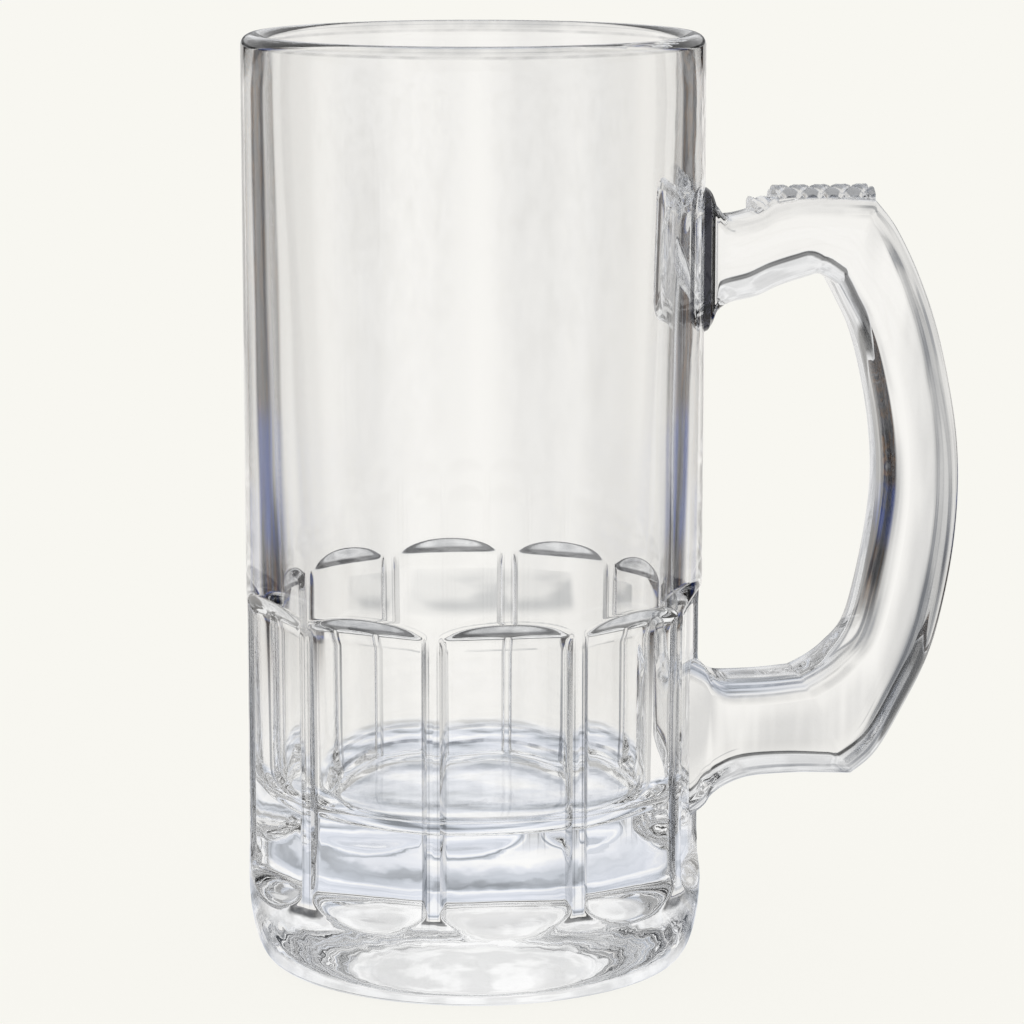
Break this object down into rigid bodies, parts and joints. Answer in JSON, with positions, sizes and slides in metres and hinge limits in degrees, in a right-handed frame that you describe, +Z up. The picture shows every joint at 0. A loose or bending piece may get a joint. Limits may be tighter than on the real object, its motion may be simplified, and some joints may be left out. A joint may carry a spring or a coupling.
{
  "type": "panelled glass beer mug",
  "caption": "Thick based clear glass beer mug with flat coved panels round its lower wall and a fused handle with a knurled thumb rest.",
  "frame": {"origin": "centre of the flat base, on the table", "axes": "+Z up along the tumbler's axis, +X out along the handle, +Y to the side"},
  "size_m": [0.1571, 0.1, 0.203],
  "materials": {
    "body_glass": "clear polished pressed glass",
    "handle_glass": "clear polished pressed glass"
  },
  "bodies": {
    "root": {"body": "body_glass", "handle": "handle_glass"}
  },
  "joints": []
}
